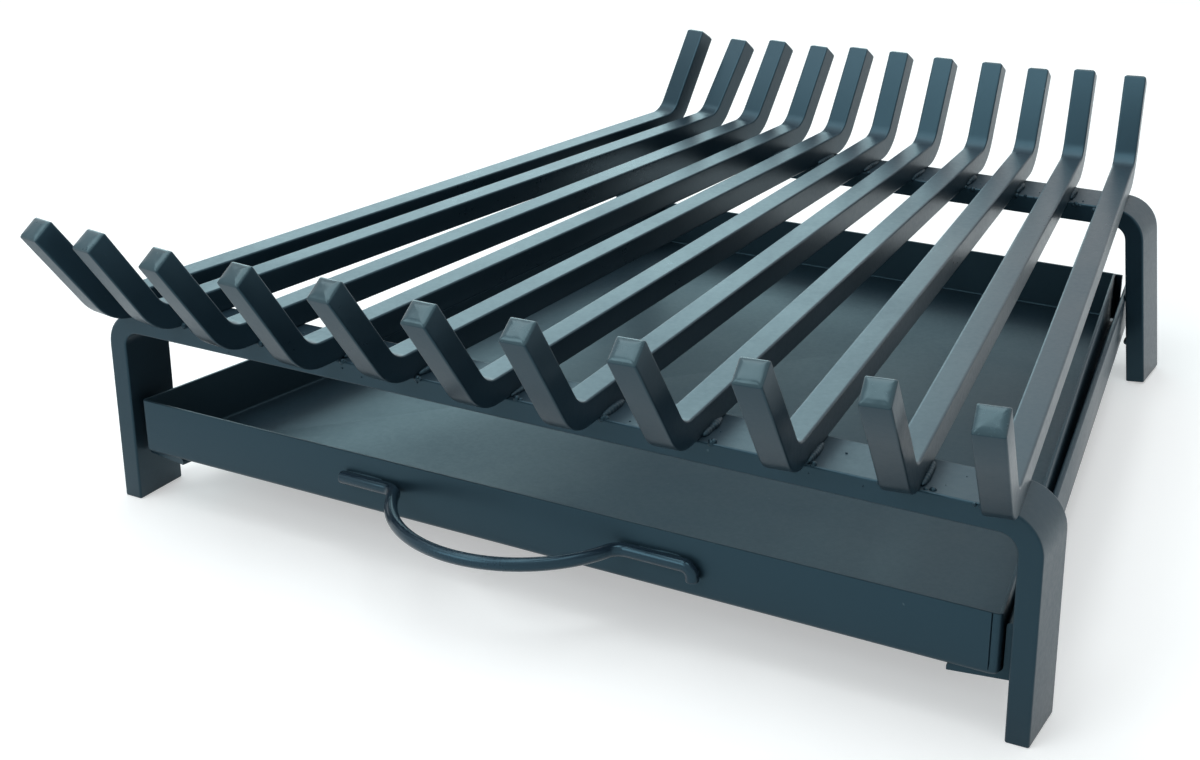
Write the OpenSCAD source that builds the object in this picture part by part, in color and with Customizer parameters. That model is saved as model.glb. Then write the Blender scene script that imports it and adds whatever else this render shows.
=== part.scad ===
// Log grate for a hearth: eleven bent square bars welded across two bent strip
// frames, with an ash tray that slides on two angle runners below the bars.
// Millimetres. The origin is the middle of the outer box, on the floor; the
// tray is pulled out towards -Y and +Z is up.

/* [Bars] */

// side of the square bar
bar_side = 12; // [10:0.5:14]
// inside radius of the bends in the bars
bar_bend_radius = 13; // [9:1:16]
// slope of the raised front ends, on average
front_bend_angle = 54; // [48:1:60]
// slope of the raised rear ends, on average
rear_bend_angle = 59; // [54:1:64]
// rise of the front ends above the top of the bars
front_rise = 47; // [36:1:60]
// rise of the rear ends above the top of the bars
rear_rise = 44; // [36:1:60]
// corner of the front bend, ahead of the front frame
front_overhang = 11; // [8:0.5:16]
// corner of the rear bend, behind the rear frame
rear_overhang = 15; // [10:0.5:20]

/* [Frames] */

// width of the front frame over its legs
front_width = 460; // [440:5:500]
// width of the rear frame over its legs, at the bends
rear_width = 328; // [310:2:350]
// distance between the front faces of the two frames
frame_spacing = 382; // [340:2:420]
// width of the strip
strip_width = 30; // [25:1:35]
// thickness of the strip
strip_thickness = 10; // [8:0.5:12]
// height of the frames
frame_height = 99; // [90:1:115]
// outside radius of the bends in the strip
strip_bend_radius = 18; // [15:0.5:19]
// outward lean of the front legs, in degrees
front_lean = 0.7; // [0:0.1:3]
// outward lean of the rear legs, in degrees
rear_lean = 6; // [2:0.5:8]

/* [Runners] */

// width of each flange of the angle
angle_flange = 25; // [20:1:28]
// thickness of the angle
angle_thickness = 3; // [2.5:0.5:4]
// underside of the runners above the floor
runner_height = 22.9; // [18:0.1:28]
// front ends of the runners behind the face of the front frame
runner_front_inset = 8; // [2:0.5:10]
// rear ends of the runners ahead of the back of the rear frame
runner_rear_inset = 2; // [1:0.5:6]

/* [Tray] */

// height of the tray
tray_height = 27.5; // [22:0.5:32]
// thickness of the tray's sheet
tray_sheet = 1.5; // [1:0.1:2]
// gap between the front of the tray and each runner
tray_front_gap = 1; // [0.8:0.1:4]
// gap between the rear wall of the tray and each runner
tray_rear_gap = 1.5; // [1:0.5:4]
// width of the rear wall beyond each side wall
tray_ear = 4; // [2:0.5:6]
// front of the tray behind the face of the front frame
tray_front_inset = 2; // [0:0.5:4]
// rear of the tray ahead of the back of the rear frame
tray_rear_inset = 5.5; // [3:0.5:12]
// clearance under the tray on its runners
tray_clearance = 0.3; // [0.3:0.1:0.5]

/* [Handle] */

// thickness of the handle's wire
wire_diameter = 6; // [5:0.5:7]
// radius of the bow, on the middle of the wire
bow_radius = 60; // [54:1:66]
// reach of the bow ahead of its feet
bow_reach = 40; // [34:1:46]
// radius where the bow turns into its feet, on the middle of the wire
foot_bend_radius = 8; // [6:0.5:10]
// length of the left foot
left_foot = 25; // [16:1:32]
// length of the right foot
right_foot = 26; // [16:1:32]
// radius of the hook at the end of the right foot, on the middle of the wire
hook_radius = 4.5; // [4:0.5:6]
// straight end of the hook
hook_drop = 2; // [1:0.5:4]
// middle of the wire above the underside of the tray
handle_height = 15.8; // [12:0.1:19]
// middle of the bow to the left of the middle of the tray
handle_offset = 7; // [0:1:12]

/* [Welds] */

// height of the weld beads
weld_size = 3.5; // [2.5:0.5:4]
// length of the beads beside the bars
bar_weld_length = 20; // [12:1:24]
// length of the beads between runners and legs
runner_weld_length = 10; // [6:1:12]
// length of the beads on the feet of the handle
foot_weld_length = 14; // [8:1:15]

/* [Hidden] */

$fn = 96;

// Places of the bars from left to right, as shares of half the width of each frame
front_place_shares = [-0.9370, -0.8161, -0.6209, -0.4265, -0.2487, -0.0391, 0.1543, 0.3517, 0.5561, 0.7578, 0.9287];
rear_place_shares = [-0.9220, -0.7780, -0.5909, -0.4055, -0.2256, -0.0439, 0.1427, 0.3360, 0.5165, 0.7018, 0.8896];
// The bars are bent by hand: each one's ends, as shares of the overhangs, the rises and the slopes
front_overhang_shares = [0.68, 0.71, 1.21, 1.44, 0.93, 1.30, 1.45, 1.17, 0.86, 0.53, 0.73];
rear_overhang_shares = [0.00, 0.61, 0.46, 0.56, 0.43, 0.53, 0.50, 0.74, 1.12, 1.27, 1.17];
front_rise_shares = [0.957, 0.919, 0.945, 0.981, 0.962, 0.981, 1.013, 1.043, 1.053, 1.119, 1.081];
rear_rise_shares = [1.045, 0.920, 0.975, 0.964, 1.018, 1.030, 1.018, 1.018, 0.977, 1.032, 1.032];
front_slope_shares = [1.006, 1.041, 1.024, 1.039, 1.013, 0.998, 1.022, 0.978, 0.970, 0.926, 0.926];
rear_slope_shares = [0.975, 0.881, 0.907, 0.924, 0.966, 1.025, 1.022, 1.051, 1.025, 1.102, 1.093];
bar_count = len(front_place_shares);

// Line of each bar in plan: from the face of the front frame to the face of the rear frame
function front_x(i) = front_place_shares[i] * front_width / 2;
function rear_x(i) = rear_place_shares[i] * rear_width / 2;
function bar_turn(i) = atan2(front_x(i) - rear_x(i), frame_spacing);
function front_corner(i) = -front_overhang * front_overhang_shares[i];
function rear_corner(i) = (frame_spacing + strip_width) / cos(bar_turn(i)) + rear_overhang * rear_overhang_shares[i];
function front_slope(i) = front_bend_angle * front_slope_shares[i];
function rear_slope(i) = rear_bend_angle * rear_slope_shares[i];
bar_top = frame_height + bar_side;

// Reach of the bars, for the middle of the outer box
function front_reach(i) =
    (front_corner(i) - front_rise * front_rise_shares[i] / tan(front_slope(i)) - bar_side * sin(front_slope(i)))
    * cos(bar_turn(i)) - bar_side / 2 * abs(sin(bar_turn(i)));
function side_reach(i, side) = front_x(i) + side * bar_side / 2 * cos(bar_turn(i)) - sin(bar_turn(i))
    * (front_corner(i) - front_rise * front_rise_shares[i] / tan(front_slope(i)) - bar_side * sin(front_slope(i)));
function rear_reach(i) =
    (rear_corner(i) + rear_rise * rear_rise_shares[i] / tan(rear_slope(i)) + bar_side * sin(rear_slope(i)))
    * cos(bar_turn(i)) + bar_side / 2 * abs(sin(bar_turn(i)));
middle_y = (min([for (i = [0 : bar_count - 1]) front_reach(i)]) + max([for (i = [0 : bar_count - 1]) rear_reach(i)])) / 2;

// Inner face of a leg at a height, and the line of the runners that touch both legs
strip_inner_radius = strip_bend_radius - strip_thickness;
function leg_inner(half, lean, z) = half - strip_bend_radius + strip_inner_radius * cos(lean)
    + (frame_height - strip_bend_radius + strip_inner_radius * sin(lean) - z) * tan(lean);
front_foot_x = leg_inner(front_width / 2, front_lean, 0) + strip_thickness / cos(front_lean);
middle_x = (min(concat([-front_foot_x], [for (i = [0 : bar_count - 1]) side_reach(i, -1)]))
    + max(concat([front_foot_x], [for (i = [0 : bar_count - 1]) side_reach(i, 1)]))) / 2;
runner_top = runner_height + angle_flange;
runner_front_x = leg_inner(front_width / 2, front_lean, runner_top);
runner_rear_x = leg_inner(rear_width / 2, rear_lean, runner_top);
runner_turn = atan2(runner_front_x - runner_rear_x, frame_spacing);
runner_length = (frame_spacing + strip_width - runner_front_inset - runner_rear_inset) / cos(runner_turn);
function runner_x(y) = runner_front_x - y * tan(runner_turn);

// Tray in plan
tray_bottom = runner_height + angle_thickness + tray_clearance;
tray_front_y = tray_front_inset;
tray_rear_y = frame_spacing + strip_width - tray_rear_inset;
function runner_face(y) = runner_x(y) - angle_thickness / cos(runner_turn);
tray_front_half = runner_face(tray_front_y) - tray_front_gap;
tray_rear_half = runner_face(tray_rear_y) - tray_rear_gap - tray_ear;
tray_slope = (tray_front_half - tray_rear_half) / (tray_rear_y - tray_front_y);
function tray_half(y) = tray_front_half - (y - tray_front_y) * tray_slope;
tray_side_gauge = tray_sheet / cos(atan(tray_slope));

// Handle
foot_y = tray_front_y - wire_diameter / 2;
bow_centre = bow_radius - bow_reach;
bow_half_angle = acos((bow_centre + foot_bend_radius) / (bow_radius + foot_bend_radius));
foot_start = (bow_radius + foot_bend_radius) * sin(bow_half_angle);
wire_z = tray_bottom + handle_height;

module in_frame() { translate([-middle_x, -middle_y, 0]) children(); }

// Outline of a strip that is bent at each inner point between the two ends. The
// points run along the inside of the bends, with the metal on their right.
bend_steps = 12;
function heading(points, i) = (points[i + 1] - points[i]) / norm(points[i + 1] - points[i]);
function right_of(v) = [v[1], -v[0]];
function corner_reach(points, i) =
    (right_of(heading(points, i - 1)) + right_of(heading(points, i)))
    / (1 + right_of(heading(points, i - 1)) * right_of(heading(points, i)));
function bend(points, i, radius, reach) =
    let (start = right_of(heading(points, i - 1)), turn = acos(heading(points, i - 1) * heading(points, i)))
    [for (k = [0 : bend_steps]) let (a = atan2(start[1], start[0]) + turn * k / bend_steps)
        points[i] - radius * corner_reach(points, i) + reach * [cos(a), sin(a)]];
function bent_side(points, radius, gauge) = let (last = len(points) - 1) [
    points[0] + gauge * right_of(heading(points, 0)),
    for (i = [1 : last - 1]) each bend(points, i, radius, radius + gauge),
    points[last] + gauge * right_of(heading(points, last - 1))];
module bent_outline(points, gauge, radius) {
    outer = bent_side(points, radius, gauge);
    polygon(concat(bent_side(points, radius, 0), [for (i = [len(outer) - 1 : -1 : 0]) outer[i]]));
}

// Grate bars
module bar_line(i) {
    translate([front_x(i), 0, 0]) rotate([0, 0, bar_turn(i)]) children();
}

module grate_bar(i) {
    front_lift = front_rise * front_rise_shares[i];
    rear_lift = rear_rise * rear_rise_shares[i];
    color([0.13, 0.17, 0.19]) in_frame() bar_line(i) rotate([90, 0, 90]) translate([0, 0, -bar_side / 2])
        linear_extrude(bar_side) bent_outline([
            [front_corner(i) - front_lift / tan(front_slope(i)), bar_top + front_lift],
            [front_corner(i), bar_top], [rear_corner(i), bar_top],
            [rear_corner(i) + rear_lift / tan(rear_slope(i)), bar_top + rear_lift]], bar_side, bar_bend_radius);
}

// Strip frames, each bent from one strip, with the feet cut level
module strip_frame(half, lean) {
    corner_x = half - strip_bend_radius + strip_inner_radius * (1 - sin(lean)) / cos(lean);
    corner_z = frame_height - strip_thickness;
    foot_x = corner_x + (corner_z + strip_thickness) * tan(lean);
    rotate([90, 0, 0]) translate([0, 0, -strip_width]) linear_extrude(strip_width) intersection() {
        bent_outline([[foot_x, -strip_thickness], [corner_x, corner_z], [-corner_x, corner_z],
            [-foot_x, -strip_thickness]], strip_thickness, strip_inner_radius);
        translate([-half - frame_height, 0]) square([2 * (half + frame_height), 2 * frame_height]);
    }
}

module front_leg_frame() {
    color([0.12, 0.16, 0.18]) in_frame() strip_frame(front_width / 2, front_lean);
}

module rear_leg_frame() {
    color([0.12, 0.16, 0.18]) in_frame() translate([0, frame_spacing, 0]) strip_frame(rear_width / 2, rear_lean);
}

// Angle runners
module runner() {
    translate([runner_x(runner_front_inset), runner_front_inset, runner_height]) rotate([0, 0, runner_turn]) {
        translate([-angle_flange, 0, 0]) cube([angle_flange, runner_length, angle_thickness]);
        translate([-angle_thickness, 0, 0]) cube([angle_thickness, runner_length, angle_flange]);
    }
}

module right_runner() {
    color([0.10, 0.13, 0.15]) in_frame() runner();
}

module left_runner() {
    color([0.10, 0.13, 0.15]) in_frame() mirror([1, 0, 0]) runner();
}

// Weld beads on both sides of the bars, on the flat of a frame
module bar_welds(frame_y, weld_start) {
    for (i = [0 : bar_count - 1]) for (side = [-1, 1])
        if ((i > 0 || side > 0) && (i < bar_count - 1 || side < 0))
            bar_line(i) translate([side * bar_side / 2, frame_y / cos(bar_turn(i)) + weld_start, frame_height])
                rotate([90, 0, 180]) linear_extrude(bar_weld_length)
                    polygon([[0, 0], [-side * weld_size, 0], [0, weld_size]]);
}

module front_bar_welds() {
    color([0.16, 0.20, 0.22]) in_frame() bar_welds(0, (strip_width - bar_weld_length) / 2);
}

module rear_bar_welds() {
    color([0.16, 0.20, 0.22]) in_frame() bar_welds(frame_spacing, (strip_width - bar_weld_length) / 2);
}

// Weld beads above and below the runners, against the inner faces of the legs
module runner_bead(y, inner) {
    translate([inner, y + runner_weld_length, runner_top]) rotate([90, 0, 0]) linear_extrude(runner_weld_length)
        polygon([[-weld_size, 0], [weld_size, 0], [weld_size, weld_size], [0, weld_size]]);
    translate([inner, y + runner_weld_length, runner_height]) rotate([90, 0, 0]) linear_extrude(runner_weld_length)
        polygon([[-weld_size, 0], [2 * weld_size, 0], [2 * weld_size, -weld_size], [0, -weld_size]]);
}

module runner_welds() {
    color([0.16, 0.20, 0.22]) in_frame() difference() {
        for (side = [0, 1]) mirror([side, 0, 0]) {
            runner_bead(runner_front_inset, runner_front_x);
            runner_bead(frame_spacing, runner_rear_x);
        }
        strip_frame(front_width / 2, front_lean);
        translate([0, frame_spacing, 0]) strip_frame(rear_width / 2, rear_lean);
    }
}

function tray_ear_outline(side) = let (
    root = [side * tray_half(tray_rear_y - tray_sheet), tray_rear_y - tray_sheet],
    tips = [for (y = [tray_rear_y - tray_sheet, tray_rear_y]) [side * (tray_rear_half + tray_ear), y]])
    side > 0 ? [root, tips[0], tips[1]] : [tips[1], tips[0], root];

// Ash tray, folded from one sheet, with a rear wall that is wider than the rest
module tray_pan() {
    color([0.20, 0.24, 0.27]) in_frame() translate([0, 0, tray_bottom]) difference() {
        linear_extrude(tray_height) polygon([
            [-tray_half(tray_front_y), tray_front_y], [tray_half(tray_front_y), tray_front_y],
            for (side = [1, -1]) each tray_ear_outline(side)]);
        translate([0, 0, tray_sheet]) linear_extrude(tray_height) polygon([
            for (c = [[-1, tray_front_y + tray_sheet], [1, tray_front_y + tray_sheet],
                      [1, tray_rear_y - tray_sheet], [-1, tray_rear_y - tray_sheet]])
                [c[0] * (tray_half(c[1]) - tray_side_gauge), c[1]]]);
    }
}

// Handle, bent from one wire, with its feet along the front of the tray. Each
// station is a point on the middle of the wire and two directions across it.
function flat_station(centre, radius, side, heading_angle) =
    [centre + side * radius * [sin(heading_angle), -cos(heading_angle), 0],
     [-sin(heading_angle), cos(heading_angle), 0], [0, 0, 1]];
function hook_station(turn, drop) =
    [[foot_start + right_foot + hook_radius * sin(turn), 0, hook_radius * (cos(turn) - 1) - drop],
     [0, 1, 0], [sin(turn), 0, cos(turn)]];
wire_sides = 12;
bow_steps = 20;
foot_steps = 6;
hook_steps = 4;
wire_stations = [
    flat_station([-foot_start - left_foot, -foot_bend_radius, 0], foot_bend_radius, -1, 0),
    for (k = [0 : foot_steps - 1])
        flat_station([-foot_start, -foot_bend_radius, 0], foot_bend_radius, -1, -bow_half_angle * k / foot_steps),
    for (k = [0 : bow_steps])
        flat_station([0, bow_centre, 0], bow_radius, 1, bow_half_angle * (2 * k / bow_steps - 1)),
    for (k = [foot_steps - 1 : -1 : 0])
        flat_station([foot_start, -foot_bend_radius, 0], foot_bend_radius, -1, bow_half_angle * k / foot_steps),
    for (k = [0 : hook_steps]) hook_station(90 * k / hook_steps, 0),
    hook_station(90, hook_drop)];

module tray_handle() {
    stations = len(wire_stations);
    color([0.09, 0.11, 0.12]) in_frame() translate([-handle_offset, foot_y, wire_z]) polyhedron(
        points = [for (s = wire_stations) for (k = [0 : wire_sides - 1])
            s[0] + wire_diameter / 2 * (cos(360 * k / wire_sides) * s[1] + sin(360 * k / wire_sides) * s[2])],
        faces = concat(
            [[for (k = [0 : wire_sides - 1]) k]],
            [for (s = [0 : stations - 2]) for (k = [0 : wire_sides - 1]) for (half = [0, 1])
                let (a = s * wire_sides + k, b = s * wire_sides + (k + 1) % wire_sides)
                half == 0 ? [a, a + wire_sides, b] : [b, a + wire_sides, b + wire_sides]],
            [[for (k = [wire_sides - 1 : -1 : 0]) (stations - 1) * wire_sides + k]]),
        convexity = 4);
}

// Weld beads above and below both feet of the handle, against the tray
module foot_bead(x) {
    for (side = [0, 1]) translate([x, tray_front_y, wire_z]) mirror([0, 0, side]) rotate([90, 0, -90])
        linear_extrude(foot_weld_length) difference() {
            translate([0, wire_diameter * 0.2]) square([wire_diameter * 0.4, wire_diameter * 0.4]);
            translate([wire_diameter / 2, 0]) circle(d = wire_diameter);
        }
}

module handle_welds() {
    color([0.16, 0.20, 0.22]) in_frame() {
        foot_bead(-handle_offset + foot_start + (right_foot + foot_weld_length) / 2);
        foot_bead(-handle_offset - foot_start - (left_foot - foot_weld_length) / 2);
    }
}

grate_bar(0);  // grate_bar_01
grate_bar(1);  // grate_bar_02
grate_bar(2);  // grate_bar_03
grate_bar(3);  // grate_bar_04
grate_bar(4);  // grate_bar_05
grate_bar(5);  // grate_bar_06
grate_bar(6);  // grate_bar_07
grate_bar(7);  // grate_bar_08
grate_bar(8);  // grate_bar_09
grate_bar(9);  // grate_bar_10
grate_bar(10);  // grate_bar_11
front_leg_frame();
rear_leg_frame();
left_runner();
right_runner();
front_bar_welds();
rear_bar_welds();
runner_welds();
tray_pan();
tray_handle();
handle_welds();
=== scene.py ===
import math

import bmesh
import bpy
import numpy as np
from mathutils import Matrix, Vector

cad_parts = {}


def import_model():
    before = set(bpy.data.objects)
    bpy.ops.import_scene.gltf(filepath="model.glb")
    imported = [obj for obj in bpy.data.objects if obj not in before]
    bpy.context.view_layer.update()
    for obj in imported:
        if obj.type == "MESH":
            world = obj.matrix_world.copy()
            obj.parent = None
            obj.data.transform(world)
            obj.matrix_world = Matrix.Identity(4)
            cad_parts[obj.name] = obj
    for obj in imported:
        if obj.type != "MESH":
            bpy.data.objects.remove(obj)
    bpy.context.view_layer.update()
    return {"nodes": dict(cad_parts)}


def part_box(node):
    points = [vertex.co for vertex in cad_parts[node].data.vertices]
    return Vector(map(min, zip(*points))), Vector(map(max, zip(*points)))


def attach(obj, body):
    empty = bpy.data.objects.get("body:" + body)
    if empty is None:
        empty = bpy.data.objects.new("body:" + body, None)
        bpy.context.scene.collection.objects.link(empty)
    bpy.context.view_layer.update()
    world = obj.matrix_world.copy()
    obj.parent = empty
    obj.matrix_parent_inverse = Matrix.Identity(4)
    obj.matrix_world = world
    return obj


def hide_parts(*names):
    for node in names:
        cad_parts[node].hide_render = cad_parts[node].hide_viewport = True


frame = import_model()


# Sizes that the solids have too, in millimetres and degrees
BAR_SIDE = 12.0
BAR_BEND_RADIUS = 13.0
FRONT_BEND_ANGLE = 54.0
REAR_BEND_ANGLE = 59.0
FRONT_RISE = 47.0
REAR_RISE = 44.0
FRONT_OVERHANG = 11.0
REAR_OVERHANG = 15.0
FRONT_WIDTH = 460.0
REAR_WIDTH = 328.0
FRAME_SPACING = 382.0
FRAME_HEIGHT = 99.0
STRIP_WIDTH = 30.0
STRIP_THICKNESS = 10.0
STRIP_BEND_RADIUS = 18.0
FRONT_LEAN = 0.7
REAR_LEAN = 6.0
ANGLE_FLANGE = 25.0
ANGLE_THICKNESS = 3.0
RUNNER_HEIGHT = 22.9
RUNNER_FRONT_INSET = 8.0
RUNNER_REAR_INSET = 2.0
TRAY_HEIGHT = 27.5
TRAY_SHEET = 1.5
TRAY_EAR = 4.0
TRAY_FRONT_GAP = 1.0
TRAY_REAR_GAP = 1.5
TRAY_CLEARANCE = 0.3
TRAY_FRONT_INSET = 2.0
TRAY_REAR_INSET = 5.5
WIRE_DIAMETER = 6.0
BOW_RADIUS = 60.0
BOW_REACH = 40.0
FOOT_BEND_RADIUS = 8.0
LEFT_FOOT = 25.0
RIGHT_FOOT = 26.0
HOOK_RADIUS = 4.5
HOOK_DROP = 2.0
HANDLE_HEIGHT = 15.8
HANDLE_OFFSET = 7.0

# The bars from left to right. Their places are shares of half the width of each frame
FRONT_PLACE_SHARES = [
    -0.9370, -0.8161, -0.6209, -0.4265, -0.2487, -0.0391, 0.1543, 0.3517, 0.5561, 0.7578, 0.9287,
]
REAR_PLACE_SHARES = [
    -0.9220, -0.7780, -0.5909, -0.4055, -0.2256, -0.0439, 0.1427, 0.3360, 0.5165, 0.7018, 0.8896,
]
# Their ends are shares of the overhangs, the rises and the bend angles
FRONT_OVERHANG_SHARES = [0.68, 0.71, 1.21, 1.44, 0.93, 1.30, 1.45, 1.17, 0.86, 0.53, 0.73]
REAR_OVERHANG_SHARES = [0.00, 0.61, 0.46, 0.56, 0.43, 0.53, 0.50, 0.74, 1.12, 1.27, 1.17]
FRONT_RISE_SHARES = [0.957, 0.919, 0.945, 0.981, 0.962, 0.981, 1.013, 1.043, 1.053, 1.119, 1.081]
REAR_RISE_SHARES = [1.045, 0.920, 0.975, 0.964, 1.018, 1.030, 1.018, 1.018, 0.977, 1.032, 1.032]
FRONT_ANGLE_SHARES = [1.006, 1.041, 1.024, 1.039, 1.013, 0.998, 1.022, 0.978, 0.970, 0.926, 0.926]
REAR_ANGLE_SHARES = [0.975, 0.881, 0.907, 0.924, 0.966, 1.025, 1.022, 1.051, 1.025, 1.102, 1.093]
BAR_NODES = sorted(name for name in frame["nodes"] if name.startswith("grate_bar_"))

# Sizes that only this script has, in millimetres
END_EDGE = 0.7
BAR_EDGE = 0.7
BAR_END_DOME = 0.9
STRIP_EDGE = 0.8
ANGLE_ROOT = 2.6
ANGLE_TOE = 1.2
ANGLE_HEEL = 0.8
ANGLE_TIP = 0.4
TRAY_OUTER_FOLD = 2.6
TRAY_INNER_FOLD = 1.1
SEAM_FROM_CORNER = 4.2
SEAM_HALF_WIDTH = 0.3
SEAM_DEPTH = 0.9
EAR_EDGE = 0.3
EAR_END_EDGE = 0.05
WIRE_END_EDGE = 0.6
LONGEST_RUN = 40.0
BEND_STEPS = 12

# The plan is in millimetres. Its origin is on the floor, below the middle of the front frame's face
MILLIMETRE = 0.001
PLAN_ORIGIN = Vector((0.0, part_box("front_leg_frame")[0][1], 0.0))


def in_frame(point):
    """A point of the plan, in the part's own frame and in metres."""
    return PLAN_ORIGIN + Vector(point) * MILLIMETRE


def bar_turn(i):
    """Angle of bar i in the plan, in radians."""
    front_x = FRONT_PLACE_SHARES[i] * FRONT_WIDTH / 2
    rear_x = REAR_PLACE_SHARES[i] * REAR_WIDTH / 2
    return math.atan2(front_x - rear_x, FRAME_SPACING)


def bar_point(i, along, height, across=0.0):
    """A point on the line of bar i, or beside it, in the plan."""
    turn = bar_turn(i)
    x = FRONT_PLACE_SHARES[i] * FRONT_WIDTH / 2
    return (
        x - along * math.sin(turn) + across * math.cos(turn),
        along * math.cos(turn) + across * math.sin(turn),
        height,
    )


def leg_inner(half_width, lean, height):
    """Distance from the middle to the inner face of a leg, at a height."""
    inner_radius = STRIP_BEND_RADIUS - STRIP_THICKNESS
    tilt = math.radians(lean)
    below = FRAME_HEIGHT - STRIP_BEND_RADIUS + inner_radius * math.sin(tilt) - height
    return half_width - STRIP_BEND_RADIUS + inner_radius * math.cos(tilt) + below * math.tan(tilt)


# The runners' outer faces touch the legs at the height of the flanges' upper edge
RUNNER_TOP = RUNNER_HEIGHT + ANGLE_FLANGE
RUNNER_FRONT_X = leg_inner(FRONT_WIDTH / 2, FRONT_LEAN, RUNNER_TOP)
RUNNER_REAR_X = leg_inner(REAR_WIDTH / 2, REAR_LEAN, RUNNER_TOP)
RUNNER_TURN = math.atan2(RUNNER_FRONT_X - RUNNER_REAR_X, FRAME_SPACING)
RUNNER_DEPTH = FRAME_SPACING + STRIP_WIDTH - RUNNER_FRONT_INSET - RUNNER_REAR_INSET
RUNNER_LENGTH = RUNNER_DEPTH / math.cos(RUNNER_TURN)


def runner_face(y):
    """Distance from the middle to the inner face of a runner's upright flange."""
    return RUNNER_FRONT_X - y * math.tan(RUNNER_TURN) - ANGLE_THICKNESS / math.cos(RUNNER_TURN)


TRAY_BOTTOM = RUNNER_HEIGHT + ANGLE_THICKNESS + TRAY_CLEARANCE
TRAY_FRONT = TRAY_FRONT_INSET
TRAY_REAR = FRAME_SPACING + STRIP_WIDTH - TRAY_REAR_INSET
TRAY_FRONT_HALF = runner_face(TRAY_FRONT) - TRAY_FRONT_GAP
TRAY_REAR_HALF = runner_face(TRAY_REAR) - TRAY_REAR_GAP - TRAY_EAR
TRAY_SLOPE = (TRAY_FRONT_HALF - TRAY_REAR_HALF) / (TRAY_REAR - TRAY_FRONT)
WIRE_Y = TRAY_FRONT - WIRE_DIAMETER / 2
WIRE_Z = TRAY_BOTTOM + HANDLE_HEIGHT
BOW_CENTRE = BOW_RADIUS - BOW_REACH
BOW_HALF_ANGLE = math.acos((BOW_CENTRE + FOOT_BEND_RADIUS) / (BOW_RADIUS + FOOT_BEND_RADIUS))
FOOT_START = (BOW_RADIUS + FOOT_BEND_RADIUS) * math.sin(BOW_HALF_ANGLE)


# Shapes and pieces
class Shape:
    """Points in the plan, and faces between them."""

    def __init__(self):
        self.points = []
        self.faces = []

    def add(self, points, faces):
        start = len(self.points)
        self.points += points
        self.faces += [tuple(start + k for k in face) for face in faces]


def piece(name, shape, material, body, node, smooth_angle):
    """An object that rides on a body, in place of a node. Edges under the angle look round."""
    mesh = bpy.data.meshes.new(name)
    mesh.from_pydata([tuple(in_frame(point)) for point in shape.points], [], shape.faces)
    mesh.validate()
    mesh.update()
    mesh.materials.append(material)
    for polygon in mesh.polygons:
        polygon.use_smooth = True
    mesh.set_sharp_from_angle(angle=math.radians(smooth_angle))
    outwards = bmesh.new()
    outwards.from_mesh(mesh)
    bmesh.ops.recalc_face_normals(outwards, faces=outwards.faces)
    outwards.to_mesh(mesh)
    outwards.free()
    made = bpy.data.objects.new(name, mesh)
    bpy.context.scene.collection.objects.link(made)
    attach(made, body)
    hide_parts(node)
    return made


def tube_faces(ring_count, sides):
    """Faces between rings of points that follow each other."""
    faces = []
    for ring in range(ring_count - 1):
        here = ring * sides
        there = here + sides
        for k in range(sides):
            after = (k + 1) % sides
            faces.append((here + k, here + after, there + after, there + k))
    return faces


def end_faces(ring_count, sides):
    """One flat face at each end of a tube."""
    last = (ring_count - 1) * sides
    return [tuple(range(sides))[::-1], tuple(last + k for k in range(sides))]


def unit(vector):
    return vector / np.linalg.norm(vector)


def middle_line(inner, thickness):
    """Middle line of a strip whose inner corners are given, with the metal on their right."""
    points = [np.array(point) for point in inner]
    normals = []
    for start, end in zip(points[:-1], points[1:]):
        ahead = unit(end - start)
        normals.append(np.array([ahead[1], -ahead[0]]))
    half = thickness / 2
    line = [points[0] + normals[0] * half]
    for point, before, after in zip(points[1:-1], normals[:-1], normals[1:]):
        line.append(point + half * (before + after) / (1 + before @ after))
    line.append(points[-1] + normals[-1] * half)
    return line


def bent_path(corners, radius):
    """Points and headings along a line that has round bends at its corners."""
    path = [(corners[0], unit(corners[1] - corners[0]))]
    for before, corner, after in zip(corners[:-2], corners[1:-1], corners[2:]):
        ahead = unit(corner - before)
        beyond = unit(after - corner)
        turn = math.acos(float(np.clip(ahead @ beyond, -1, 1)))
        hand = 1.0 if ahead[0] * beyond[1] - ahead[1] * beyond[0] > 0 else -1.0
        inwards = np.array([-ahead[1], ahead[0]]) * hand
        centre = corner - ahead * radius * math.tan(turn / 2) + inwards * radius
        for k in range(BEND_STEPS + 1):
            part = turn * k / BEND_STEPS
            heading = ahead * math.cos(part) + inwards * math.sin(part)
            outwards = ahead * math.sin(part) - inwards * math.cos(part)
            path.append((centre + outwards * radius, heading))
    path.append((corners[-1], unit(corners[-1] - corners[-2])))
    return path


def subdivided(path):
    """The path with its long straight runs cut into shorter ones."""
    cut = [path[0]]
    for point, heading in path[1:]:
        start = cut[-1][0]
        parts = max(1, int(np.linalg.norm(point - start) / LONGEST_RUN + 0.5))
        for k in range(1, parts):
            cut.append((start + (point - start) * k / parts, heading))
        cut.append((point, heading))
    return cut


def strip_path(inner, thickness, inner_radius):
    """Path of a bent strip's middle line, from its inner corners and its inner bend radius."""
    return subdivided(bent_path(middle_line(inner, thickness), inner_radius + thickness / 2))


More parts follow.
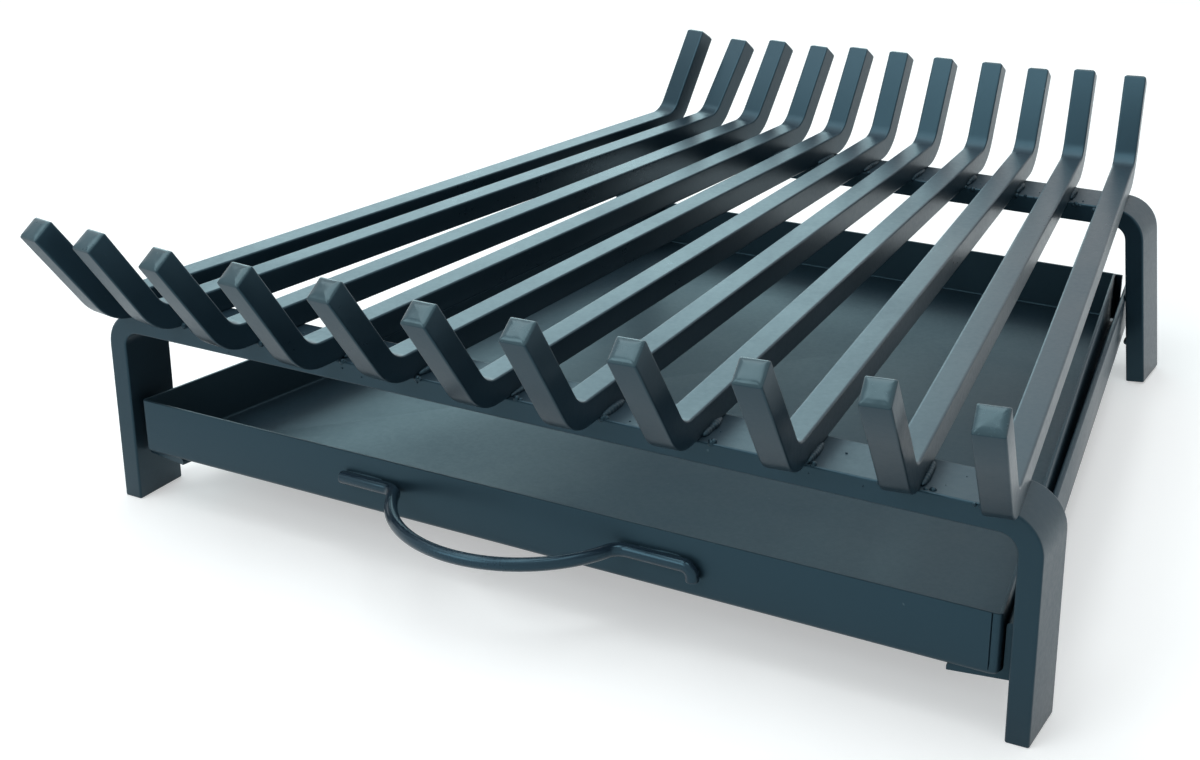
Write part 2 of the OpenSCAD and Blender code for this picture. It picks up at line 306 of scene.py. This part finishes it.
def rounded_section(width, height, radius):
    """Outline of a section with rounded corners, anticlockwise. A point on the flat beside each
    corner keeps the flats flat in smooth shading."""
    steps = 3
    flat = 0.5
    outline = []
    for right, upper, start in ((1, 1, 0), (-1, 1, 90), (-1, -1, 180), (1, -1, 270)):
        x = right * (width / 2 - radius)
        y = upper * (height / 2 - radius)
        cosine = round(math.cos(math.radians(start)))
        sine = round(math.sin(math.radians(start)))
        outline.append((x + radius * cosine + flat * sine, y + radius * sine - flat * cosine))
        for k in range(steps + 1):
            turn = math.radians(start + 90 * k / steps)
            outline.append((x + radius * math.cos(turn), y + radius * math.sin(turn)))
        outline.append((x - radius * sine - flat * cosine, y + radius * cosine - flat * sine))
    return outline


def swept(path, section, place, end_edge, end_dome):
    """Shape of a section that is swept along a path, with rounded rims and raised middles at its
    ends. place(x, y, across) puts a point of the path, moved across the strip, into the plan. The
    numbers of the faces on the ends are given too."""
    half_width = max(across for across, height in section)
    half_height = max(height for across, height in section)
    # Rings of an end from its middle to its rim, as shares of the section and pushes inwards
    rim = [
        (0.45, -end_dome),
        (0.80, -0.72 * end_dome),
        (1 - 0.8 * end_edge / half_height, -0.15 * end_dome),
        (1 - 0.3 * end_edge / half_height, 0.28 * end_edge),
    ]
    points = []

    def ring(station, share, push):
        point, heading = station
        up = np.array([-heading[1], heading[0]])
        across_share = share
        if share > 0.9:
            across_share = min(1, 1 - (1 - share) * half_height / half_width)
        for across, height in section:
            x, y = point + up * (height * share) + heading * push
            points.append(place(x, y, across * across_share))

    for share, push in rim:
        ring(path[0], share, push)
    ring(path[0], 1, end_edge)
    for station in path[1:-1]:
        ring(station, 1, 0.0)
    ring(path[-1], 1, -end_edge)
    for share, push in rim[::-1]:
        ring(path[-1], share, -push)
    sides = len(section)
    ring_count = len(points) // sides
    faces = tube_faces(ring_count, sides)
    last = (ring_count - 1) * sides
    tip = len(points)
    for (point, heading), way in ((path[0], -1), (path[-1], 1)):
        points.append(place(*(point + heading * way * end_dome * 1.05), 0.0))
    for k in range(sides):
        after = (k + 1) % sides
        faces.append((tip, after, k))
        faces.append((tip + 1, last + k, last + after))
    shape = Shape()
    shape.add(points, faces)
    rim_faces = (len(rim) - 1) * sides
    rest = len(faces) - 2 * sides - rim_faces
    return shape, [*range(rim_faces), *range(rest, len(faces))]


# Paint
def paint(name, base, roughness, clouds=0.06, bump=0.05, grain=420.0, tint=(0.42, 0.80, 1.0),
          wave=0.10, wave_scale=26.0):
    """Black paint with a cloudy gloss, a few pale specks, a fine grain and slow waves."""
    material = bpy.data.materials.new(name)
    material.use_nodes = True
    tree = material.node_tree
    tree.nodes.clear()
    output = tree.nodes.new("ShaderNodeOutputMaterial")
    shader = tree.nodes.new("ShaderNodeBsdfPrincipled")
    tree.links.new(shader.outputs[0], output.inputs[0])
    shader.inputs["Specular IOR Level"].default_value = 0.5
    shader.inputs["IOR"].default_value = 1.5
    shader.inputs["Specular Tint"].default_value = (*tint, 1)
    place = tree.nodes.new("ShaderNodeTexCoord").outputs["Object"]

    def noise(scale, detail, roughness, distortion=0.0):
        node = tree.nodes.new("ShaderNodeTexNoise")
        node.inputs["Scale"].default_value = scale
        node.inputs["Detail"].default_value = detail
        node.inputs["Roughness"].default_value = roughness
        node.inputs["Distortion"].default_value = distortion
        tree.links.new(place, node.inputs["Vector"])
        return node.outputs["Fac"]

    def ramp(value, stops):
        node = tree.nodes.new("ShaderNodeValToRGB")
        for element, (position, colour) in zip(node.color_ramp.elements, stops):
            element.position = position
            element.color = (*colour, 1)
        tree.links.new(value, node.inputs[0])
        return node.outputs[0]

    def mapped(value, low, high):
        node = tree.nodes.new("ShaderNodeMapRange")
        node.inputs["From Min"].default_value = 0.3
        node.inputs["From Max"].default_value = 0.7
        node.inputs["To Min"].default_value = low
        node.inputs["To Max"].default_value = high
        tree.links.new(value, node.inputs["Value"])
        return node.outputs[0]

    def bumped(height, strength, distance):
        node = tree.nodes.new("ShaderNodeBump")
        node.inputs["Strength"].default_value = strength
        node.inputs["Distance"].default_value = distance
        tree.links.new(height, node.inputs["Height"])
        return node

    cloud = noise(scale=7.0, detail=4, roughness=0.55, distortion=0.4)
    tone = ramp(cloud, [(0.25, [c * 0.82 for c in base]), (0.75, [c * 1.18 for c in base])])
    specks = ramp(noise(scale=140.0, detail=2, roughness=0.5), [(0.775, (0, 0, 0)), (0.80, (1, 1, 1))])
    # Inputs 6 and 7 of a colour mix are its two colours, and output 2 is the mixed one
    colour = tree.nodes.new("ShaderNodeMix")
    colour.data_type = "RGBA"
    tree.links.new(specks, colour.inputs[0])
    tree.links.new(tone, colour.inputs[6])
    colour.inputs[7].default_value = (0.05, 0.075, 0.085, 1)
    tree.links.new(colour.outputs[2], shader.inputs["Base Color"])
    gloss = tree.nodes.new("ShaderNodeMath")
    gloss.operation = "ADD"
    dust = noise(scale=420.0, detail=3, roughness=0.6)
    tree.links.new(mapped(cloud, roughness - clouds, roughness + clouds), gloss.inputs[0])
    tree.links.new(mapped(dust, -0.03, 0.03), gloss.inputs[1])
    tree.links.new(gloss.outputs[0], shader.inputs["Roughness"])
    grainy = bumped(noise(scale=grain, detail=4, roughness=0.6, distortion=0.5), bump, 0.0006)
    wavy = bumped(noise(scale=wave_scale, detail=2, roughness=0.5), wave, 0.0012)
    tree.links.new(wavy.outputs[0], grainy.inputs["Normal"])
    tree.links.new(grainy.outputs[0], shader.inputs["Normal"])
    return material


BLACK = (0.0085, 0.0185, 0.0275)
# Paint of the bars' sheared ends: paler than the rest, partly for their bare sheared metal and partly a
# painted highlight for the light they catch from above
SHEARED_AND_HIGHLIT = (0.028, 0.055, 0.070)
TRAY_BLACK = (0.0110, 0.0235, 0.0340)
WIRE_BLACK = (0.0110, 0.0210, 0.0330)
WELD_BLACK = (0.0060, 0.0130, 0.0200)
PALE_TINT = (0.66, 0.93, 1.0)
bar_paint = paint("bar_paint", BLACK, 0.33)
end_and_highlight_paint = paint("end_and_highlight_paint", SHEARED_AND_HIGHLIT, 0.25, grain=260.0, tint=PALE_TINT, wave=1.0, wave_scale=62.0)
strip_paint = paint("strip_paint", BLACK, 0.38)
tray_paint = paint("tray_paint", TRAY_BLACK, 0.42, clouds=0.08)
wire_paint = paint("wire_paint", WIRE_BLACK, 0.24, bump=0.01, wave=0.03)
weld_paint = paint("weld_paint", WELD_BLACK, 0.48, bump=0.35, grain=260.0)


# Grate bars
def bar_inner(i):
    """Inner corners of bar i in its own upright plane, as distances along it and heights."""
    front_rise = FRONT_RISE * FRONT_RISE_SHARES[i]
    rear_rise = REAR_RISE * REAR_RISE_SHARES[i]
    front_slope = math.tan(math.radians(FRONT_BEND_ANGLE * FRONT_ANGLE_SHARES[i]))
    rear_slope = math.tan(math.radians(REAR_BEND_ANGLE * REAR_ANGLE_SHARES[i]))
    front = -FRONT_OVERHANG * FRONT_OVERHANG_SHARES[i]
    frames_length = (FRAME_SPACING + STRIP_WIDTH) / math.cos(bar_turn(i))
    rear = frames_length + REAR_OVERHANG * REAR_OVERHANG_SHARES[i]
    top = FRAME_HEIGHT + BAR_SIDE
    return [
        (front - front_rise / front_slope, top + front_rise),
        (front, top),
        (rear, top),
        (rear + rear_rise / rear_slope, top + rear_rise),
    ]


def grate_bar(i):
    """One square bar with both ends bent up. Its sheared ends have a paler paint, partly their bare
    sheared metal and partly a painted highlight.
    """
    path = strip_path(bar_inner(i), BAR_SIDE, BAR_BEND_RADIUS)
    section = rounded_section(BAR_SIDE, BAR_SIDE, BAR_EDGE)

    def place(along, height, across):
        return bar_point(i, along, height, across)

    shape, ends = swept(path, section, place, END_EDGE, BAR_END_DOME)
    node = BAR_NODES[i]
    bar = piece(node.removeprefix("grate_"), shape, bar_paint, "frame", node, smooth_angle=40)
    # The end faces get the paler paint, which is partly a painted highlight
    bar.data.materials.append(end_and_highlight_paint)
    for k in ends:
        bar.data.polygons[k].material_index = 1


# Leg frames
def leg_frame(name, width, lean, front, node):
    """One strip bent over both legs, with its feet cut level."""
    inner_radius = STRIP_BEND_RADIUS - STRIP_THICKNESS
    tilt = math.radians(lean)
    corner = width / 2 - STRIP_BEND_RADIUS + inner_radius * (1 - math.sin(tilt)) / math.cos(tilt)
    foot = leg_inner(width / 2, lean, 0)
    under = FRAME_HEIGHT - STRIP_THICKNESS
    path = strip_path([(foot, 0.0), (corner, under), (-corner, under), (-foot, 0.0)],
                      STRIP_THICKNESS, inner_radius)
    section = rounded_section(STRIP_WIDTH, STRIP_THICKNESS, STRIP_EDGE)

    def place(x, height, across):
        return (x, front + STRIP_WIDTH / 2 + across, max(height, 0.0))

    shape, _ = swept(path, section, place, END_EDGE, end_dome=0.0)
    piece(name, shape, strip_paint, "frame", node, smooth_angle=40)


# Runners
def arc(x, y, radius, start, end, steps):
    """Points of an arc, from one angle in degrees to another."""
    turns = [math.radians(start + (end - start) * k / steps) for k in range(steps + 1)]
    return [(x + radius * math.cos(turn), y + radius * math.sin(turn)) for turn in turns]


def runner(name, side, node):
    """A rolled angle with a rounded heel, toes and root."""
    wall = ANGLE_THICKNESS
    section = (
        arc(-ANGLE_HEEL, ANGLE_HEEL, ANGLE_HEEL, -90, 0, 3)
        + arc(-ANGLE_TIP, ANGLE_FLANGE - ANGLE_TIP, ANGLE_TIP, 0, 90, 2)
        + arc(ANGLE_TOE - wall, ANGLE_FLANGE - ANGLE_TOE, ANGLE_TOE, 90, 180, 4)
        + arc(-wall - ANGLE_ROOT, wall + ANGLE_ROOT, ANGLE_ROOT, 0, -90, 5)
        + arc(ANGLE_TOE - ANGLE_FLANGE, wall - ANGLE_TOE, ANGLE_TOE, 90, 180, 4)
        + arc(ANGLE_TIP - ANGLE_FLANGE, ANGLE_TIP, ANGLE_TIP, 180, 270, 2)
    )
    start = RUNNER_FRONT_X - RUNNER_FRONT_INSET * math.tan(RUNNER_TURN)
    cosine = math.cos(RUNNER_TURN)
    sine = math.sin(RUNNER_TURN)
    points = []
    for along in (0.0, RUNNER_LENGTH):
        for across, height in section:
            x = start + across * cosine - along * sine
            y = RUNNER_FRONT_INSET + across * sine + along * cosine
            points.append((side * x, y, RUNNER_HEIGHT + height))
    shape = Shape()
    shape.add(points, tube_faces(2, len(section)) + end_faces(2, len(section)))
    piece(name, shape, strip_paint, "frame", node, smooth_angle=35)


# Ash tray
def rounded_corner(before, corner, after, radius):
    """Points of a round corner between two straight edges."""
    steps = 4
    back = unit(before - corner)
    ahead = unit(after - corner)
    half_angle = math.acos(float(back @ ahead)) / 2
    centre = corner + unit(back + ahead) * radius / math.sin(half_angle)
    start = corner + back * radius / math.tan(half_angle) - centre
    end = corner + ahead * radius / math.tan(half_angle) - centre
    turn = math.acos(float(np.clip(start @ end / radius**2, -1, 1)))
    points = []
    for k in range(steps + 1):
        share = k / steps
        point = math.sin((1 - share) * turn) * start + math.sin(share * turn) * end
        points.append(tuple(centre + point / math.sin(turn)))
    return points


def tray_ring(inset, radius, height, groove=0.0):
    """Outline of the tray, moved in by inset, with a groove near its right front corner. The
    same points stand on the left, without a groove."""
    front = TRAY_FRONT + inset
    rear = TRAY_REAR - inset
    sideways = inset / math.cos(math.atan(TRAY_SLOPE))
    front_half = TRAY_FRONT_HALF - (front - TRAY_FRONT) * TRAY_SLOPE - sideways
    rear_half = TRAY_FRONT_HALF - (rear - TRAY_FRONT) * TRAY_SLOPE - sideways
    corners = [(front_half, front), (rear_half, rear), (-rear_half, rear), (-front_half, front)]
    corners = [np.array(corner) for corner in corners]
    outline = []
    for k in range(4):
        outline += rounded_corner(corners[k - 1], corners[k], corners[(k + 1) % 4], radius)
    for side, depth in ((-1, 0.0), (1, groove)):
        seam = side * (TRAY_FRONT_HALF - SEAM_FROM_CORNER)
        for step, deep in ((-SEAM_HALF_WIDTH, 0.0), (0.0, depth), (SEAM_HALF_WIDTH, 0.0)):
            outline.append((seam + step, front + deep))
    return [(x, y, TRAY_BOTTOM + height) for x, y in outline]


def tray_ear(side):
    """The end of the rear wall that stands out beyond a side wall."""
    root = 1.0
    trim = 1.0
    lift = 0.3
    y = TRAY_REAR - TRAY_SHEET / 2
    heading = np.array((float(side), 0.0))
    ends = (TRAY_REAR_HALF - root, TRAY_REAR_HALF + TRAY_EAR)
    path = [(np.array((side * x, y)), heading) for x in ends]
    section = rounded_section(TRAY_HEIGHT - trim, TRAY_SHEET, EAR_EDGE)
    middle = TRAY_BOTTOM + TRAY_HEIGHT / 2 + lift

    def place(x, y, across):
        return (x, y, middle + across)

    shape, _ = swept(path, section, place, EAR_END_EDGE, end_dome=0.0)
    return shape


def tray():
    """A folded pan, open on top, with round folds, a rounded rim and a rear wall with two ears."""
    fold_steps = 6
    wall_start = 5.0
    outer_corner = 2.0
    outer_spread = 0.8
    inner_corner = 0.7
    inner_spread = 0.6
    folds = [math.radians(90 * k / fold_steps) for k in range(fold_steps + 1)]
    rings = []
    for turn in folds:
        inwards = 1 - math.sin(turn)
        up = 1 - math.cos(turn)
        corner = outer_corner + outer_spread * inwards
        rings.append(tray_ring(TRAY_OUTER_FOLD * inwards, corner, TRAY_OUTER_FOLD * up))
    rings.append(tray_ring(0, outer_corner, wall_start, SEAM_DEPTH))
    # Rings of the rim, with their insets, corner radii, drops below the top and grooves
    for inset, corner, drop, groove in (
        (0.0, outer_corner, 0.5, SEAM_DEPTH),
        (0.15, 1.9, 0.12, 0.0),
        (0.45, 1.6, 0.0, 0.0),
        (TRAY_SHEET - 0.45, 1.0, 0.0, 0.0),
        (TRAY_SHEET - 0.12, 0.8, 0.12, 0.0),
        (TRAY_SHEET, inner_corner, 0.5, 0.0),
    ):
        rings.append(tray_ring(inset, corner, TRAY_HEIGHT - drop, groove))
    for turn in folds:
        inwards = 1 - math.cos(turn)
        up = 1 - math.sin(turn)
        corner = inner_corner + inner_spread * inwards
        inset = TRAY_SHEET + TRAY_INNER_FOLD * inwards
        rings.append(tray_ring(inset, corner, TRAY_SHEET + TRAY_INNER_FOLD * up))
    sides = len(rings[0])
    shape = Shape()
    points = [point for ring in rings for point in ring]
    shape.add(points, tube_faces(len(rings), sides) + end_faces(len(rings), sides))
    for side in (-1, 1):
        ear = tray_ear(side)
        shape.add(ear.points, ear.faces)
    piece("tray", shape, tray_paint, "ash_tray", "tray_pan", smooth_angle=32)


# Handle. A station is a point on the middle of the wire and two directions across it
def flat_station(x, y, radius, side, turn):
    """A station on an arc that lies level."""
    point = (x + side * radius * math.sin(turn), y - side * radius * math.cos(turn), 0.0)
    return point, (-math.sin(turn), math.cos(turn), 0.0), (0.0, 0.0, 1.0)


def hook_station(turn, drop):
    """A station on the hook at the end of the right foot."""
    x = FOOT_START + RIGHT_FOOT + HOOK_RADIUS * math.sin(turn)
    z = HOOK_RADIUS * (math.cos(turn) - 1) - drop
    return (x, 0.0, z), (0.0, 1.0, 0.0), (math.sin(turn), 0.0, math.cos(turn))


def handle_stations():
    """Stations from the left foot over the bow to the hook."""
    foot_steps = 12
    bow_steps = 56
    hook_steps = 10
    bend = FOOT_BEND_RADIUS
    stations = [flat_station(-FOOT_START - LEFT_FOOT, -bend, bend, -1, 0)]
    for k in range(foot_steps):
        stations.append(flat_station(-FOOT_START, -bend, bend, -1, -BOW_HALF_ANGLE * k / foot_steps))
    for k in range(bow_steps + 1):
        turn = BOW_HALF_ANGLE * (2 * k / bow_steps - 1)
        stations.append(flat_station(0, BOW_CENTRE, BOW_RADIUS, 1, turn))
    for k in reversed(range(foot_steps)):
        stations.append(flat_station(FOOT_START, -bend, bend, -1, BOW_HALF_ANGLE * k / foot_steps))
    for k in range(hook_steps + 1):
        stations.append(hook_station(math.radians(90 * k / hook_steps), 0))
    stations.append(hook_station(math.radians(90), HOOK_DROP))
    return stations


def handle():
    """One wire with rounded ends: straight feet, a level bow and a hook at the right end."""
    sides = 24
    end_shares = ((0.55, -0.05), (0.86, 0.0), (0.97, 0.25))
    stations = handle_stations()
    middles = [np.array(station[0]) for station in stations]
    start = middles[0]
    end = middles[-1]
    ahead = unit(middles[1] - start)
    beyond = unit(end - middles[-2])
    middles[0] = start + ahead * WIRE_END_EDGE
    middles[-1] = end - beyond * WIRE_END_EDGE
    rings = [(start + ahead * push, stations[0], share) for share, push in end_shares]
    rings += [(middle, station, 1.0) for middle, station in zip(middles, stations)]
    rings += [(end - beyond * push, stations[-1], share) for share, push in end_shares[::-1]]
    points = []
    for middle, (_, across, up), share in rings:
        for k in range(sides):
            turn = 2 * math.pi * k / sides
            outwards = math.cos(turn) * np.array(across) + math.sin(turn) * np.array(up)
            x, y, z = middle + WIRE_DIAMETER / 2 * share * outwards
            points.append((x - HANDLE_OFFSET, y + WIRE_Y, z + WIRE_Z))
    shape = Shape()
    shape.add(points, tube_faces(len(rings), sides) + end_faces(len(rings), sides))
    piece("handle", shape, wire_paint, "ash_tray", "tray_handle", smooth_angle=50)


# Welds
def bead(shape, start, end, radius, seed, flat=1.0):
    """A lumpy weld bead: a rippled tube that tapers to round ends."""
    sides = 14
    step = 0.55
    ripple_length = 2.3
    ripple_depth = 0.06
    rng = np.random.default_rng(seed)
    start = np.array(start, float)
    end = np.array(end, float)
    length = np.linalg.norm(end - start)
    ahead = (end - start) / length
    side = unit(np.cross(ahead, (0, 0, 1.0)))
    up = np.cross(side, ahead)
    steps = max(10, int(length / step))
    phase = rng.uniform(0, 6.28)
    lumps = [rng.uniform(-1, 1) for _ in range(8)]
    drift = rng.uniform(-0.4, 0.4, 2)
    points = []
    for k in range(steps + 1):
        share = k / steps
        taper = math.sin(math.pi * share) ** 0.35 if 0 < share < 1 else 0.02
        ripple = 1 + ripple_depth * math.cos(2 * math.pi * share * length / ripple_length + phase)
        swell = sum(lumps[q] * math.sin((q + 1) * math.pi * share + q) for q in range(4))
        slow = 1 + 0.13 * swell / 1.6
        sideways = side * drift[0] * math.sin(math.pi * share)
        upwards = up * drift[1] * 0.5 * math.sin(2 * math.pi * share)
        middle = start + ahead * length * share + sideways + upwards
        for j in range(sides):
            turn = 2 * math.pi * j / sides
            rough = 0.06 * math.sin(3 * turn + lumps[5] * 6 + share * 9) + 0.03 * rng.uniform(-1, 1)
            reach = radius * taper * ripple * slow * (1 + rough)
            points.append(middle + side * math.cos(turn) * reach + up * math.sin(turn) * reach * flat)
    shape.add(points, tube_faces(steps + 1, sides) + end_faces(steps + 1, sides))


def weld_drop(shape, centre, radius):
    """A small drop of weld metal, half sunk."""
    rings = 4
    sides = 8
    centre = np.array(centre)
    points = []
    for k in range(1, rings + 1):
        down = math.pi * k / (rings + 1)
        for j in range(sides):
            turn = 2 * math.pi * j / sides
            outwards = (math.sin(down) * math.cos(turn), math.sin(down) * math.sin(turn), math.cos(down))
            points.append(centre + radius * np.array(outwards))
    points += [centre + (0, 0, radius), centre - (0, 0, radius)]
    last = (rings - 1) * sides
    top = rings * sides
    faces = tube_faces(rings, sides)
    for j in range(sides):
        after = (j + 1) % sides
        faces.append((top, after, j))
        faces.append((top + 1, last + j, last + after))
    shape.add(points, faces)


# The bars' welds, in millimetres. A pair is the range of a random draw
BEAD_BESIDE = 0.4
BEAD_ABOVE = 0.5
BEAD_FLAT = 1.05
BEAD_START = (0.5, 4.0)
BEAD_LENGTH = (17, 23)
BEAD_RADIUS = (1.4, 1.9)
STRAY_ALONG = (2, 28)
STRAY_AWAY = (3, 12)
STRAY_RADIUS = (0.25, 0.6)
EDGE_COUNT = 3
EDGE_ALONG = (0.2, 2.2)
EDGE_DROP = (-0.2, 0.9)
EDGE_AWAY = (-1.5, 6.5)
EDGE_RADIUS = (0.8, 1.7)
FACE_COUNT = 9
FACE_MARGIN = 24
FACE_DROP = (1.5, 8.5)
FACE_RADIUS = (0.3, 0.65)


def bar_weld(shape, rng, i, side, front, seed):
    """The bead on one side of a bar, a stray drop beside it and some on the strip's front edge."""
    beside = side * (BAR_SIDE / 2 + BEAD_BESIDE)
    height = FRAME_HEIGHT + BEAD_ABOVE
    along = front / math.cos(bar_turn(i)) + rng.uniform(*BEAD_START)
    length = rng.uniform(*BEAD_LENGTH)
    radius = rng.uniform(*BEAD_RADIUS)
    start = bar_point(i, along, height, beside)
    end = bar_point(i, along + length, height, beside)
    bead(shape, start, end, radius, seed, flat=BEAD_FLAT)
    along = front + rng.uniform(*STRAY_ALONG)
    across = beside + side * rng.uniform(*STRAY_AWAY)
    weld_drop(shape, bar_point(i, along, FRAME_HEIGHT, across), rng.uniform(*STRAY_RADIUS))
    for _ in range(EDGE_COUNT):
        along = front + rng.uniform(*EDGE_ALONG)
        height = FRAME_HEIGHT - rng.uniform(*EDGE_DROP)
        across = beside + side * rng.uniform(*EDGE_AWAY)
        weld_drop(shape, bar_point(i, along, height, across), rng.uniform(*EDGE_RADIUS))


def bar_welds(name, rng, front, width, node, seed):
    """Welds of all bars on one leg frame, and drops on the strip's front face. The outermost
    bars have no bead on their outer side."""
    shape = Shape()
    last = len(BAR_NODES) - 1
    for i in range(len(BAR_NODES)):
        for side in (-1, 1):
            outermost = (i == 0 and side < 0) or (i == last and side > 0)
            if not outermost:
                bar_weld(shape, rng, i, side, front, seed + 2 * i + (side > 0))
    half = width / 2 - FACE_MARGIN
    for _ in range(FACE_COUNT):
        x = rng.uniform(-half, half)
        height = FRAME_HEIGHT - rng.uniform(*FACE_DROP)
        weld_drop(shape, (x, front, height), rng.uniform(*FACE_RADIUS))
    piece(name, shape, weld_paint, "frame", node, smooth_angle=60)


def runner_welds():
    """Beads above and below each runner, where it meets the legs."""
    shape = Shape()
    above = RUNNER_TOP + 0.4
    below = RUNNER_HEIGHT - 0.2
    upper_length = 13
    lower_length = 12
    for side in (-1, 1):
        for y, x in ((RUNNER_FRONT_INSET, RUNNER_FRONT_X), (FRAME_SPACING, RUNNER_REAR_X)):
            seed = int(y) + side
            upper = side * (x + 0.6)
            lower = side * (x + 2.4)
            end = y + upper_length
            bead(shape, (upper, y, above), (upper, end, above), radius=2.1, seed=500 + seed, flat=1.1)
            end = y + lower_length
            bead(shape, (lower, y, below), (lower, end, below), radius=2.0, seed=600 + seed)
    piece("welds_runners", shape, weld_paint, "frame", "runner_welds", smooth_angle=60)


def handle_welds():
    """Beads above and below each foot of the handle. They start 0.5 mm in front of the tray at
    their left end, and end 0.3 mm in front of it."""
    shape = Shape()
    from_bow = 4
    from_end = 2
    right_foot = (FOOT_START + from_bow, FOOT_START + RIGHT_FOOT - from_end)
    left_foot = (-FOOT_START - LEFT_FOOT + from_end, -FOOT_START - from_bow)
    for start, end in (right_foot, left_foot):
        for side in (-1, 1):
            z = WIRE_Z + side * WIRE_DIAMETER * 0.34
            left = (start - HANDLE_OFFSET, TRAY_FRONT - 0.5, z)
            right = (end - HANDLE_OFFSET, TRAY_FRONT - 0.3, z)
            bead(shape, left, right, radius=0.6, seed=700 + int(start) + side)
    piece("welds_handle", shape, weld_paint, "ash_tray", "handle_welds", smooth_angle=60)


for i in range(len(BAR_NODES)):
    grate_bar(i)
leg_frame("front_strip", FRONT_WIDTH, FRONT_LEAN, 0.0, "front_leg_frame")
leg_frame("rear_strip", REAR_WIDTH, REAR_LEAN, FRAME_SPACING, "rear_leg_frame")
runner("runner_right", 1, "right_runner")
runner("runner_left", -1, "left_runner")
tray()
handle()
draws = np.random.default_rng(11)
bar_welds("welds_front", draws, 0.0, FRONT_WIDTH, "front_bar_welds", seed=100)
bar_welds("welds_rear", draws, FRAME_SPACING, REAR_WIDTH, "rear_bar_welds", seed=300)
runner_welds()
handle_welds()


# Camera
def camera():
    """A camera with its eye at a point of the plan. Its angles are in radians."""
    eye = (398.8, -617.3, 413.4)
    yaw = 0.52425
    pitch = -0.3947
    roll = -0.0094
    focal_pixels = 1896.2
    photo_width = 1200
    sensor_width = 36.0
    ahead = Vector((-math.sin(yaw) * math.cos(pitch), math.cos(yaw) * math.cos(pitch), math.sin(pitch)))
    level = Vector((math.cos(yaw), math.sin(yaw), 0))
    upright = level.cross(ahead)
    right = level * math.cos(roll) + upright * math.sin(roll)
    up = upright * math.cos(roll) - level * math.sin(roll)
    data = bpy.data.cameras.new("camera")
    data.sensor_fit = "HORIZONTAL"
    data.sensor_width = sensor_width
    data.lens = focal_pixels / photo_width * sensor_width
    data.clip_start = 0.01
    data.clip_end = 50
    made = bpy.data.objects.new("camera", data)
    bpy.context.scene.collection.objects.link(made)
    turned = Matrix((right, up, -ahead)).transposed().to_4x4()
    made.matrix_world = Matrix.Translation(in_frame(eye)) @ turned
    bpy.context.scene.camera = made


# Floor and world
def seen_directly(tree):
    """1 for camera, glossy and transmission rays, 0 for the rest."""
    path = tree.nodes.new("ShaderNodeLightPath")
    seen = path.outputs["Is Camera Ray"]
    for other in ("Is Glossy Ray", "Is Transmission Ray"):
        larger = tree.nodes.new("ShaderNodeMath")
        larger.operation = "MAXIMUM"
        tree.links.new(seen, larger.inputs[0])
        tree.links.new(path.outputs[other], larger.inputs[1])
        seen = larger.outputs[0]
    return seen


def floor():
    """A floor of 12 m by 12 m that looks white and shows a soft shadow."""
    reach = 6
    glow = 0.42
    corners = [(-reach, -reach, 0), (reach, -reach, 0), (reach, reach, 0), (-reach, reach, 0)]
    mesh = bpy.data.meshes.new("floor")
    mesh.from_pydata(corners, [], [(0, 1, 2, 3)])
    made = bpy.data.objects.new("floor", mesh)
    bpy.context.scene.collection.objects.link(made)
    material = bpy.data.materials.new("floor")
    material.use_nodes = True
    tree = material.node_tree
    shader = tree.nodes["Principled BSDF"]
    shader.inputs["Base Color"].default_value = (0.70, 0.70, 0.70, 1)
    shader.inputs["Roughness"].default_value = 0.9
    shader.inputs["Specular IOR Level"].default_value = 0.1
    shader.inputs["Emission Color"].default_value = (1.0, 1.0, 1.0, 1)
    strength = tree.nodes.new("ShaderNodeMath")
    strength.operation = "MULTIPLY"
    strength.inputs[1].default_value = glow
    tree.links.new(seen_directly(tree), strength.inputs[0])
    tree.links.new(strength.outputs[0], shader.inputs["Emission Strength"])
    mesh.materials.append(material)


def world():
    """A soft light from all around, and plain white where the world is seen."""
    made = bpy.data.worlds.new("world")
    bpy.context.scene.world = made
    made.use_nodes = True
    tree = made.node_tree
    tree.nodes.clear()
    output = tree.nodes.new("ShaderNodeOutputWorld")
    mix = tree.nodes.new("ShaderNodeMixShader")
    tree.links.new(seen_directly(tree), mix.inputs[0])
    for slot, colour, strength in ((1, (0.92, 0.98, 1.0, 1), 0.28), (2, (1, 1, 1, 1), 1.0)):
        background = tree.nodes.new("ShaderNodeBackground")
        background.inputs[0].default_value = colour
        background.inputs[1].default_value = strength
        tree.links.new(background.outputs[0], mix.inputs[slot])
    tree.links.new(mix.outputs[0], output.inputs[0])


# Lights, in metres and watts
def area_light(name, place, target, size, power, colour):
    """A soft rectangular light that faces its target."""
    data = bpy.data.lights.new(name, "AREA")
    data.shape = "RECTANGLE"
    data.size, data.size_y = size
    data.energy = power
    data.color = colour
    made = bpy.data.objects.new(name, data)
    bpy.context.scene.collection.objects.link(made)
    made.location = place
    made.rotation_euler = (Vector(target) - Vector(place)).to_track_quat("-Z", "Y").to_euler()


camera()
floor()
world()
area_light(
    "back", place=(-1.35, 1.75, 0.95), target=(0, 0.1, 0.10),
    size=(1.7, 1.0), power=11, colour=(0.56, 0.94, 1.0),
)
area_light(
    "top", place=(-0.3, -0.2, 2.2), target=(0, 0, 0.05),
    size=(2.2, 2.2), power=44, colour=(0.94, 0.99, 1.0),
)
area_light(
    "front", place=(-0.9, -2.0, 1.5), target=(0, 0, 0.08),
    size=(1.5, 1.0), power=18, colour=(0.90, 0.98, 1.0),
)
bpy.context.scene.view_settings.view_transform = "Standard"
